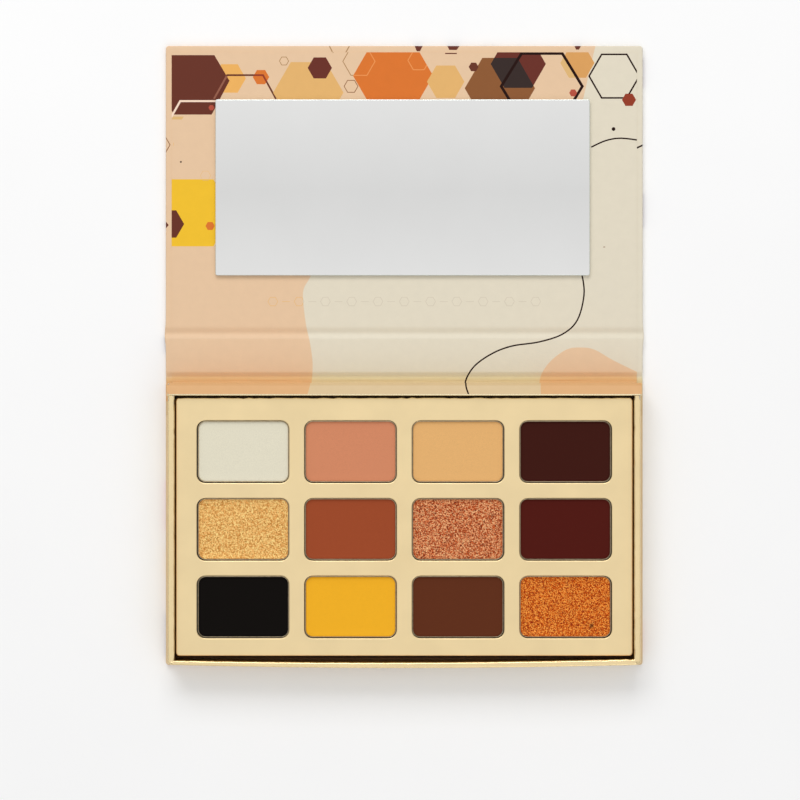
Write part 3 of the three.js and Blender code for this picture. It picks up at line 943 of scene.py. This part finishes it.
def arc_points(radius, count):
    """(outward, along) steps of a quarter turn, from along the face to along the next one."""
    return [
        (radius * (1 - math.sin(math.pi / 2 * i / count)), radius * (1 - math.cos(math.pi / 2 * i / count)))
        for i in range(count + 1)
    ]


# ---------------------------------------------------------------- the outer paper


FLAP = 10.0
FOLD_RADIUS = 0.42
COVER_RADIUS = 0.9
UNDERSIDE_INSET = 1.0
# The paper's ends push outwards where it isn't held by a board
GUTTER_BULGE = 0.38


def margin_height(y):
    """The turned-in paper lies just under the lining, and drops with it into the gutters."""
    lining_height = side_point(run_at(abs(y)))[1]
    if y < -SPINE_LIP - SPINE_SLOPE:
        steps = [-REAR_OUTER - 0.1, BOARD_EDGE - 0.05, BOARD_EDGE + 0.15]
        lining_height = float(np.interp(-y, steps, [VALLEY, LINER_TOP - 0.05, LINER_TOP]))
    return lining_height - PAPER


def cover_stops(start, end):
    """Stations along a cover panel, close together where the paper dips into a gutter."""
    low, high = sorted((start, end))
    dips = [sign * float(y) for y in PROFILE[:, 0] for sign in (-1, 1) if 4 < y < 10]
    stops = sorted({*spread(low, high, SHEET_STEP), *(y for y in dips if low < y < high)})
    kept = [y for i, y in enumerate(stops) if i == 0 or y - stops[i - 1] > 0.05]
    kept[-1] = high
    return kept if end > start else kept[::-1]


def fold_section(height):
    """(inset, z) from the flap's inner edge, round the board's edge, to the underside."""
    upper = min(FOLD_RADIUS, height / 2)
    lower = min(0.34, height / 2)
    section = [(inset, height) for inset in (FLAP, 6, 3.6, 2.4, 1.6)]
    section += [(inset, height - drop) for inset, drop in arc_points(upper, 5)]
    section += [(inset, height) for height, inset in arc_points(lower, 4)]
    section.append((UNDERSIDE_INSET, 0.0))
    return section


def cover_wrap(name, start, end, closed_end):
    """The outer paper of one panel, between two lines across the palette (start nearer the spine)."""
    sign = 1 if end >= start else -1
    bm = bmesh.new()
    if closed_end:
        ys = cover_stops(start, end - sign * COVER_RADIUS)
        stations, _, _ = corner_run(COVER_HALF, ys, end, COVER_RADIUS)
        runs = [stations]
        ys = ys[:-1] + [end - sign * UNDERSIDE_INSET]
    else:
        ys = cover_stops(start, end)
        runs = [[(lambda d, y=y, s=s: (s * (COVER_HALF - d), y)) for y in ys] for s in (-1, 1)]
    for stations in runs:
        rows = []
        for station in stations:
            height = margin_height(station(0)[1])
            row = []
            for inset, z in fold_section(height):
                x, y = station(inset)
                row.append((x, y, z))
            rows.append(row)
        skin(bm, rows)
    inner = COVER_HALF - UNDERSIDE_INSET
    edge = COVER_HALF - COVER_RADIUS
    xs = [-inner, *spread(-edge, edge, SHEET_STEP)[1:-1], inner]
    skin(bm, [[(x, y, 0) for x in xs] for y in ys])
    weld(bm, 0.02)
    face_outward(bm, lambda b: min(b.faces, key=lambda f: f.calc_center_median().z).normal.z < 0)
    MARGIN_ART.print_on(bm, facing=1)
    COVER_ART.print_on(bm, facing=-1)
    store_plan(bm)
    for vert in bm.verts:
        bulge = GUTTER_BULGE * math.exp(-((vert.co.y - CREASE) / 2.6) ** 2)
        near_end = max(0.0, 1 - (COVER_HALF - abs(vert.co.x)) / 3)
        vert.co.x += math.copysign(bulge * near_end, vert.co.x)
    thicken(bm, PAPER * 0.8, len(INK_NAMES))
    return finish_printed(name, bm)


LINING_ART = inside_art()
MARGIN_ART = margin_art()
COVER_ART = outside_art()

# The paper turns with the panels up to these lines on each side of a crease
PANEL_LINE = BOARD_EDGE - 0.3
SPINE_LINE = SPINE_EDGE + 0.25


def build_papers():
    wall_end, wall_half = float(RUN[-1]), TRAY_HALF + 0.3
    pieces = [
        (lining("lid_lining", run_at(PANEL_LINE), LINER_FAR), "lid", "lid_liner"),
        (lining("spine_lining", run_at(-SPINE_LINE), run_at(SPINE_LINE)), "spine", "spine_liner"),
        (lining("rear_wall_lining", wall_end, run_at(-PANEL_LINE), wall_half), "base", "rear_wall_liner"),
        (cover_wrap("lid_cover_paper", PANEL_LINE, FREE_EDGE, True), "lid", "lid_wrap"),
        (cover_wrap("spine_cover_paper", -SPINE_LINE, SPINE_LINE, False), "spine", "spine_wrap"),
        (cover_wrap("base_cover_paper", -PANEL_LINE, -FREE_EDGE, True), "base", "base_wrap"),
    ]
    for piece, body, node in pieces:
        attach(piece, body)
        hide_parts(node)
    creases = (("lid", "spine", "lid", 1), ("base", "base", "spine", -1))
    for label, first, second, sign in creases:
        low, high = sorted((sign * PANEL_LINE, sign * SPINE_LINE))
        for piece in (
            lining(f"{label}_crease_lining", run_at(low), run_at(high)),
            cover_wrap(f"{label}_crease_cover", low, high, False),
        ):
            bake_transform(piece)


# ---------------------------------------------------------------- foiled tray walls


FRONT_BOW = 0.95
FRONT_TUCK = 0.28
FRONT_THINNING = 0.42
# The walls' rounding: at the tray's front corners, and over their tops
WALL_RADIUS = 1.5
WALL_TOP_RADIUS = 0.5
FOIL_BUCKLE = 0.24


def bowed(x, y):
    """The front wall bows outwards between its corners, and is thinner than the side walls."""
    share = min(1.0, max(0.0, (REAR_INNER - y) / (REAR_INNER - TRAY_FRONT)))
    inner = min(1.0, max(0.0, (y - TRAY_FRONT) / WALL))
    bow = FRONT_BOW * (1 - (x / TRAY_HALF) ** 2) - FRONT_TUCK
    thinning = FRONT_THINNING - 0.22 * x / TRAY_HALF
    return y - share ** 4 * (bow + thinning * inner)


def wall_section():
    """(inset, z) up the outside of a wall, over its top and down inside."""
    shoulder = RIM_TOP - WALL_TOP_RADIUS
    section = [(0, z) for z in spread(TRAY_FLOOR, shoulder, 1.4)[:-1]]
    over = [(inset, RIM_TOP - drop) for inset, drop in reversed(arc_points(WALL_TOP_RADIUS, 5))]
    section += over
    section.append((WALL / 2, RIM_TOP + 0.02))
    section += [(WALL - inset, z) for inset, z in reversed(over)]
    section += [(WALL, z) for z in spread(shoulder, TRAY_FLOOR + 0.1, 1.0)[1:]]
    return section


def creased(x, y, z, inset):
    """Small buckles of the foil, strongest on the inner edge and near the tray's corners."""
    corner = min(abs(y - REAR_INNER), math.hypot(TRAY_HALF - abs(x), y - TRAY_FRONT)) / 9
    local = FOIL_BUCKLE * (0.45 + 1.2 * math.exp(-corner))
    inner = inset / WALL
    return local * (0.35 + 0.65 * inner) * noise.noise(Vector((x / 1.5, y / 1.5, z / 2.6)))


def mitre_fold(x, y):
    """The doubled foil along the diagonal of each front corner stands a little proud."""
    across, along = TRAY_HALF - abs(x), y - TRAY_FRONT
    off_diagonal = (across - along) / math.sqrt(2)
    near = math.exp(-((across + along) / 3.6) ** 4)
    ridge = 0.2 * math.exp(-(off_diagonal / 0.3) ** 2)
    groove = 0.22 * math.exp(-((off_diagonal - 0.65) / 0.3) ** 2)
    return near * (ridge - groove)


def foil_walls():
    outer = foil("gold_foil", srgb(248, 223, 172), 0.2, 0.1, 0.0012)
    # Inside the tray the foil is a deeper bronze copy of the gold: painted shade and painted reflection of
    # the tray's own gold
    inner = foil("gold_foil_painted_shade", srgb(222, 166, 76), 0.3, 0.1, 0.0012)
    ys = spread(REAR_INNER, TRAY_FRONT + WALL_RADIUS, 0.8)
    stations, left, right = corner_run(TRAY_HALF, ys, TRAY_FRONT, WALL_RADIUS, 0.8, arc=12)
    section = wall_section()
    shoulder = RIM_TOP - WALL_TOP_RADIUS - 0.01
    painted_shade_from = sum(1 for inset, z in section if inset < WALL or z >= shoulder) - 1
    spans = {
        "left": stations[: left + 1],
        "front": stations[left: right + 1],
        "right": stations[right:],
    }
    for side, span in spans.items():
        rows = []
        for station in span:
            row = []
            for inset, z in section:
                x, y = station(inset)
                buckle = creased(x, y, z, inset)
                x, y = station(max(0.0, min(WALL, inset + buckle)))
                rough = 0.04 + 0.3 * math.exp(-abs(y - REAR_INNER) / 5)
                lift = max(0.0, 1 - (RIM_TOP - z) / 0.8)
                uneven = rough * (noise.noise(Vector((x / 1.1, y / 1.1, 3.1))) - 0.3)
                row.append((x, bowed(x, y), z + lift * (uneven + mitre_fold(x, y))))
            rows.append(row)
        bm = bmesh.new()
        skin(bm, rows)
        # Faces down the inside of each wall take the painted-shade copy of the foil
        for i, face in enumerate(bm.faces):
            face.material_index = int(i % (len(section) - 1) >= painted_shade_from)
        weld(bm, 0.002)
        face_outward(bm, lambda b: max(b.faces, key=lambda f: f.calc_center_median().z).normal.z > 0)
        thicken(bm, PAPER * 0.7, 0)
        piece = make_object(f"{side}_wall_foil", bm, [outer, inner])
        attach(piece, "base")
        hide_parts(f"{side}_wall_wrap")


def rear_wall_ends():
    """The lining is folded down over both ends of the rear wall."""
    for side, sign in (("left", -1), ("right", 1)):
        bm = bmesh.new()
        rows = []
        for z in spread(TRAY_FLOOR, RIM_TOP - 0.3, 0.8):
            row = []
            for y in spread(REAR_INNER + 0.05, REAR_OUTER - 0.05, 0.5):
                middle = (REAR_INNER + REAR_OUTER) / 2
                pillow = 0.25 * (1 - ((y - middle) / (REAR_OUTER - middle)) ** 2)
                pinch = 0.35 * max(0.0, 1 - (RIM_TOP - z) / 1.2) ** 2
                x = TRAY_HALF + 0.1 + pillow - pinch + 0.06 * ripple(y, z, 1.8, 7)
                row.append((sign * x, y, z))
            rows.append(row)
        skin(bm, rows)
        face_outward(bm, lambda b: next(iter(b.faces)).normal.x * sign > 0)
        store_plan(bm, lambda point: run_at(REAR_OUTER - 2) - point.z / 20)
        thicken(bm, PAPER * 0.9, 0)
        piece = make_object(f"rear_wall_end_{side}", bm, [INKS["peach"]])
        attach(piece, "base")


def front_wall_core(board):
    """The front wall's board follows the bow of its foil."""
    low, high = box_mm("front_wall_board")
    bm = bmesh.new()
    rows = []
    for x in spread(low.x + 0.7, high.x - 0.7, 3):
        front, back = low.y + 0.05, high.y - 0.05
        corners = [(front, low.z), (back, low.z), (back, high.z - 0.4), (back - 0.4, high.z - 0.1)]
        corners += [(front + 0.4, high.z - 0.1), (front, high.z - 0.4)]
        rows.append([(x, bowed(x, y), z) for y, z in corners])
    capped_skin(bm, rows)
    bmesh.ops.recalc_face_normals(bm, faces=bm.faces)
    piece = make_object("front_wall_core", bm, [board])
    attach(piece, "base")
    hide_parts("front_wall_board")


# ---------------------------------------------------------------- rounded slabs


# Steps of a rounded box's corner
BOX_ARC = 6


class RoundedBox:
    """A rounded rectangle, seen from above, with the distance of a point from its edge."""

    def __init__(self, centre, half_x, half_y, radius):
        self.centre = centre
        self.half_x = half_x
        self.half_y = half_y
        self.radius = radius

    def grown(self, amount):
        radius = max(0.05, self.radius + amount)
        return RoundedBox(self.centre, self.half_x + amount, self.half_y + amount, radius)

    def loop(self):
        points = []
        corners = ((1, 1, 0), (-1, 1, 90), (-1, -1, 180), (1, -1, 270))
        for x_sign, y_sign, first in corners:
            for i in range(BOX_ARC + 1):
                angle = math.radians(first + 90 * i / BOX_ARC)
                points.append((
                    self.centre[0] + x_sign * (self.half_x - self.radius) + self.radius * math.cos(angle),
                    self.centre[1] + y_sign * (self.half_y - self.radius) + self.radius * math.sin(angle),
                ))
        return points

    def past_arc_centre(self, x, y):
        dx = abs(x - self.centre[0]) - self.half_x + self.radius
        dy = abs(y - self.centre[1]) - self.half_y + self.radius
        return dx, dy

    def distance(self, x, y):
        """Below zero inside."""
        dx, dy = self.past_arc_centre(x, y)
        return math.hypot(max(dx, 0), max(dy, 0)) + min(max(dx, dy), 0) - self.radius

    def outward(self, x, y):
        """The direction straight out of the nearest edge."""
        dx, dy = self.past_arc_centre(x, y)
        way = Vector((max(dx, 0), max(dy, 0), 0))
        if way.length < 1e-6:
            way = Vector((1, 0, 0)) if dx > dy else Vector((0, 1, 0))
        way.x = math.copysign(way.x, x - self.centre[0])
        way.y = math.copysign(way.y, y - self.centre[1])
        return way.normalized()


# A strip of this width along each edge of a slab keeps its shading even
EDGE_STRIP = 0.25


def slab(outer, windows, top, bottom, edge, step, relief, edge_index=0, edge_steps=4):
    """A plate with upper edges rounded to the radius edge, windows cut through it and a shaped top face."""
    bm = bmesh.new()
    rim = outer.grown(-edge)
    xs = spread(rim.centre[0] - rim.half_x - 0.5, rim.centre[0] + rim.half_x + 0.5, step)
    ys = spread(rim.centre[1] - rim.half_y - 0.5, rim.centre[1] + rim.half_y + 0.5, step)
    skin(bm, [[(x, y, 0) for x in xs] for y in ys])
    keep = set(cut_loop(bm, rim.loop()))
    bmesh.ops.delete(bm, geom=[f for f in bm.faces if f not in keep], context="FACES")
    for window in windows:
        bmesh.ops.delete(bm, geom=cut_loop(bm, window.grown(edge).loop()), context="FACES")
        cut_loop(bm, window.grown(edge + EDGE_STRIP).loop())
    cut_loop(bm, rim.grown(-EDGE_STRIP).loop())
    weld(bm, 0.01)
    face_up(bm)

    top_faces = list(bm.faces)
    side_loops = [l for f in top_faces for l in f.loops if len(l.edge.link_faces) == 1]
    side_edges = [(l.vert, l.link_loop_next.vert) for l in side_loops]
    edge_verts = {vert for pair in side_edges for vert in pair}
    for vert in bm.verts:
        vert.co.z = top + relief(vert.co.x, vert.co.y)
    columns = {}
    for vert in edge_verts:
        x, y, z = vert.co
        shapes = [(abs(rim.distance(x, y)), outer, 1)]
        shapes += [(abs(window.grown(edge).distance(x, y)), window, -1) for window in windows]
        _, shape, sign = min(shapes, key=lambda entry: entry[0])
        way = shape.outward(x, y) * sign
        column = [vert]
        for i in range(1, edge_steps + 1):
            angle = math.pi / 2 * i / edge_steps
            reach, drop = edge * math.sin(angle), edge * (1 - math.cos(angle))
            column.append(bm.verts.new((x + way.x * reach, y + way.y * reach, z - drop)))
        column.append(bm.verts.new((column[-1].co.x, column[-1].co.y, bottom)))
        columns[vert] = column
    for start, end in side_edges:
        a, b = columns[start], columns[end]
        for i in range(edge_steps + 1):
            face = bm.faces.new((b[i], a[i], a[i + 1], b[i + 1]))
            face.material_index = edge_index
    below = {vert: column[-1] for vert, column in columns.items()}
    for vert in {v for f in top_faces for v in f.verts} - edge_verts:
        below[vert] = bm.verts.new((vert.co.x, vert.co.y, bottom))
    for face in top_faces:
        back = bm.faces.new([below[loop.vert] for loop in reversed(face.loops)])
        back.material_index = edge_index
    return bm


def window_boxes():
    """The card's windows, one round each pan."""
    boxes = {}
    for row in range(ROWS):
        for column in range(COLUMNS):
            low, high = box_mm(f"pan_{cell_name(row, column)}")
            centre = ((low.x + high.x) / 2, (low.y + high.y) / 2)
            half_x = (high.x - low.x) / 2 + WINDOW_GAP
            half_y = (high.y - low.y) / 2 + WINDOW_GAP
            boxes[cell_name(row, column)] = RoundedBox(centre, half_x, half_y, WINDOW_RADIUS)
    return boxes


WINDOWS = window_boxes()

# The card is cut a little fuller than its drawing at the sides and rear
CARD_SLACK = 0.3


def insert_card():
    low_y, high_y = CARD_LOW.y - 0.05, CARD_HIGH.y + CARD_SLACK
    half_x = (CARD_HIGH.x - CARD_LOW.x) / 2 + CARD_SLACK
    outer = RoundedBox((0, (low_y + high_y) / 2), half_x, (high_y - low_y) / 2, 1.1)

    def relief(x, y):
        return 0.05 * ripple(x, y, 26, 4.2) + 0.008 * ripple(x, y, 3, 1.7)

    bm = slab(outer, list(WINDOWS.values()), CARD_HIGH.z - 0.02, CARD_LOW.z, 0.32, 1.6, relief)
    for vert in bm.verts:
        near_rear = max(0.0, 1 - (high_y - vert.co.y) / 0.6)
        vert.co.y += near_rear * 0.28 * (ripple(vert.co.x, 0, 1.7, 8.8) - 0.2)
    finish = foil("gold_card", srgb(245, 221, 171), 0.4, 0.08, 0.003)
    piece = make_object("gold_insert_card", bm, [finish])
    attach(piece, "base")
    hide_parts("insert_card")


# ---------------------------------------------------------------- pans and powders


PAN_RIM = 0.15
RIM_BEAD = 0.04
# Each pan sits a little off its window's middle: sideways by column, and towards the rear
PAN_SHIFTS = (0.13, 0.02, -0.08, -0.12)
PAN_SHIFT_REAR = 0.08


def seated(name):
    """The outline of a pan where it sits."""
    window = WINDOWS[name]
    shift = PAN_SHIFTS[int(name[-1]) - 1]
    centre = (window.centre[0] + shift, window.centre[1] + PAN_SHIFT_REAR)
    outline = window.grown(-WINDOW_GAP)
    return RoundedBox(centre, outline.half_x, outline.half_y, outline.radius)


def pan(name, node, finish):
    """A drawn tray with a soft bottom edge and a narrow, flat-topped rim."""
    low, high = box_mm(node)
    edge = seated(name)
    rim = high.z
    section = [(1.0, low.z), (0.5, low.z + 0.05), (0.2, low.z + 0.25), (0.08, low.z + 0.7)]
    section += [(0.06, rim - 0.8), (0.0, rim - 0.2)]
    for first, centre in ((0, RIM_BEAD), (90, PAN_RIM - RIM_BEAD)):
        for i in range(4):
            angle = math.radians(first + 30 * i)
            inset = centre - RIM_BEAD * math.cos(angle)
            section.append((inset, rim - RIM_BEAD + RIM_BEAD * math.sin(angle)))
    section += [(0.26, rim - 0.5), (0.3, low.z + 1.0), (0.6, low.z + 0.5), (1.1, low.z + 0.35)]
    bm = bmesh.new()
    rows = [[(x, y, z) for x, y in edge.grown(-inset).loop()] for inset, z in section]
    capped_skin(bm, rows)
    weld(bm, 0.001)
    bmesh.ops.recalc_face_normals(bm, faces=bm.faces)
    piece = make_object(f"aluminium_{node}", bm, [finish], sharp=60)
    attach(piece, "base")
    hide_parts(node)


# Shade, display colour, and the contrast of its mica grains (0 for a matte powder)
SHADES = [
    [("ivory", (228, 222, 200), 0), ("terracotta_peach", (212, 138, 102), 0),
     ("tan", (230, 178, 114), 0), ("dark_cocoa", (63, 26, 20), 0)],
    [("gold_shimmer", (241, 176, 98), 60), ("rust", (158, 75, 44), 0),
     ("copper_shimmer", (216, 98, 42), 122), ("burgundy", (81, 26, 20), 0)],
    [("black", (17, 14, 12), 0), ("yellow", (244, 178, 40), 0),
     ("brown", (97, 49, 29), 0), ("amber_shimmer", (217, 95, 0), 92)],
]


# How far the powder's middle lies below its edge
POWDER_DISH = 0.25
# A dark speck lies in the amber powder, towards its front right corner
AMBER_SPECK = (56.6, -81.8)


def powder(name, node, shade, rgb, contrast, seed):
    """A pressed cake that creeps up at its edge, its surface grainy where it shimmers."""
    low, high = box_mm(node)
    outer = seated(name).grown(-PAN_RIM - 0.02)
    rough = 0.035 if contrast else 0.012

    def relief(x, y):
        from_edge = -outer.distance(x, y)
        creep = POWDER_DISH * math.exp(-max(0.0, from_edge - 0.2) / 0.85)
        return creep + 0.05 * ripple(x, y, 8, seed) + rough * ripple(x, y, 0.55, seed + 9)

    middle = high.z + 0.1 - POWDER_DISH
    step = 0.42 if contrast else 0.6
    bm = slab(outer, [], middle, low.z, 0.12, step, relief, edge_steps=3)
    if contrast:
        speck = (*AMBER_SPECK, high.z) if shade == "amber_shimmer" else None
        finish = shimmer_powder(f"powder_{shade}", rgb, contrast, speck)
    else:
        finish = matte_powder(f"powder_{shade}", srgb(*rgb))
    piece = make_object(f"pressed_{node}", bm, [finish], sharp=70)
    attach(piece, "base")
    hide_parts(node)


def pans_and_powders():
    aluminium = pressed_aluminium()
    for row in range(ROWS):
        for column in range(COLUMNS):
            name = cell_name(row, column)
            shade, rgb, contrast = SHADES[row][column]
            pan(name, f"pan_{name}", aluminium)
            powder(name, f"powder_{name}", shade, rgb, contrast, 3.0 * row + 1.3 * column)


# ---------------------------------------------------------------- mirror and carried-over parts


# The mirror is stuck on a little to the left of the lid's middle
MIRROR_SHIFT = -0.5


def mirror():
    low, high = box_mm("mirror")
    centre = ((low.x + high.x) / 2 + MIRROR_SHIFT, (low.y + high.y) / 2)
    outer = RoundedBox(centre, (high.x - low.x) / 2, (high.y - low.y) / 2, 0.6)
    bm = slab(outer, [], high.z, low.z, 0.22, 8, lambda x, y: 0.0, edge_index=1, edge_steps=2)
    piece = make_object("mirror_glass", bm, [silvered_glass(), ground_glass()], sharp=20)
    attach(piece, "lid")
    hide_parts("mirror")


def finish_cad_nodes(board):
    """Boards, adhesive sheets and magnets keep their CAD shapes and get their own materials."""
    tape = adhesive()
    magnet = nickel()
    finishes = {
        "pan_bed": board,
        "pan_frame": pan_foam(),
        "pan_adhesive": tape,
        "mirror_tape": tape,
        # Painted shade: the hidden liner is coloured dark so the gaps round the card read dark
        "base_liner": liner_paper_painted_shade(),
    }
    for node, piece in frame["nodes"].items():
        if node.endswith("_board"):
            finishes[node] = board
        elif "magnet" in node:
            finishes[node] = magnet
        if node in finishes:
            piece.data.materials.clear()
            piece.data.materials.append(finishes[node])


# ---------------------------------------------------------------- floor, lights and camera


def floor():
    bm = bmesh.new()
    reach = 1500
    skin(bm, [[(x, y, -0.05) for x in (-reach, 0, reach)] for y in (-reach, 0, reach)])
    face_up(bm)
    finish = Finish("floor_paper")
    grain = finish.noise(0.02, detail=2)
    finish.colour(finish.ramp(grain, [(0.3, srgb(251, 251, 251)), (0.7, srgb(252, 252, 252))]))
    finish.set(Roughness=0.9, Specular_IOR_Level=0.1)
    make_object("floor", bm, [finish.material])


def area_light(name, place, target, size, watts):
    light = bpy.data.lights.new(name, "AREA")
    light.shape = "RECTANGLE"
    light.size, light.size_y = size
    light.energy = watts
    lamp = bpy.data.objects.new(name, light)
    lamp.location = place
    lamp.rotation_euler = (Vector(target) - Vector(place)).to_track_quat("-Z", "Y").to_euler()
    bpy.context.scene.collection.objects.link(lamp)


def grey_levels(sky, value, stops):
    """Grey levels along a direction component that runs from -1 to 1."""
    share = sky.range(value, 0, 1, source=(-1, 1))
    return sky.ramp(share, [((position + 1) / 2, (level, level, level, 1)) for position, level in stops])


def soft_room():
    """A white room: bright overhead, darker low down, with a pale grey strip that the mirror shows."""
    world = bpy.data.worlds.new("soft_room")
    world.use_nodes = True
    sky = NodeTree(world.node_tree)
    way = sky.split(sky.add("ShaderNodeTexCoord").outputs["Generated"])
    height = grey_levels(sky, way["Z"], [(-1, 0.5), (0, 0.3), (0.5, 0.55), (0.9, 0.84), (1, 0.86)])
    strip = grey_levels(sky, way["Y"], [
        (-1, 0.9), (0, 1.0), (0.035, 0.98), (0.07, 0.87), (0.105, 0.99), (0.3, 1.0), (1, 1.0),
    ])
    sky.link(sky.multiplied(height, strip), sky.tree.nodes["Background"].inputs["Color"])
    bpy.context.scene.world = world


def lights():
    soft_room()
    area_light("key_softbox", (-0.2, 0.95, 0.9), (0, 0, 0), (1.0, 0.6), 7.5)
    area_light("fill_softbox", (0.4, -0.9, 0.8), (0, 0, 0), (1.0, 0.6), 1.6)


def camera():
    """Straight above, with the whole opened palette in a square frame."""
    data = bpy.data.cameras.new("camera")
    data.sensor_width = 36
    height = 0.9
    frame_width = 0.244
    data.lens = data.sensor_width * height / frame_width
    shooter = bpy.data.objects.new("camera", data)
    shooter.location = (-0.0013, -0.01357, height)
    bpy.context.scene.collection.objects.link(shooter)
    bpy.context.scene.camera = shooter


# ---------------------------------------------------------------- assembly


bpy.context.scene.view_settings.view_transform = "Standard"
BOARD = grey_board()
build_papers()
foil_walls()
rear_wall_ends()
front_wall_core(BOARD)
insert_card()
pans_and_powders()
mirror()
finish_cad_nodes(BOARD)
floor()
lights()
camera()
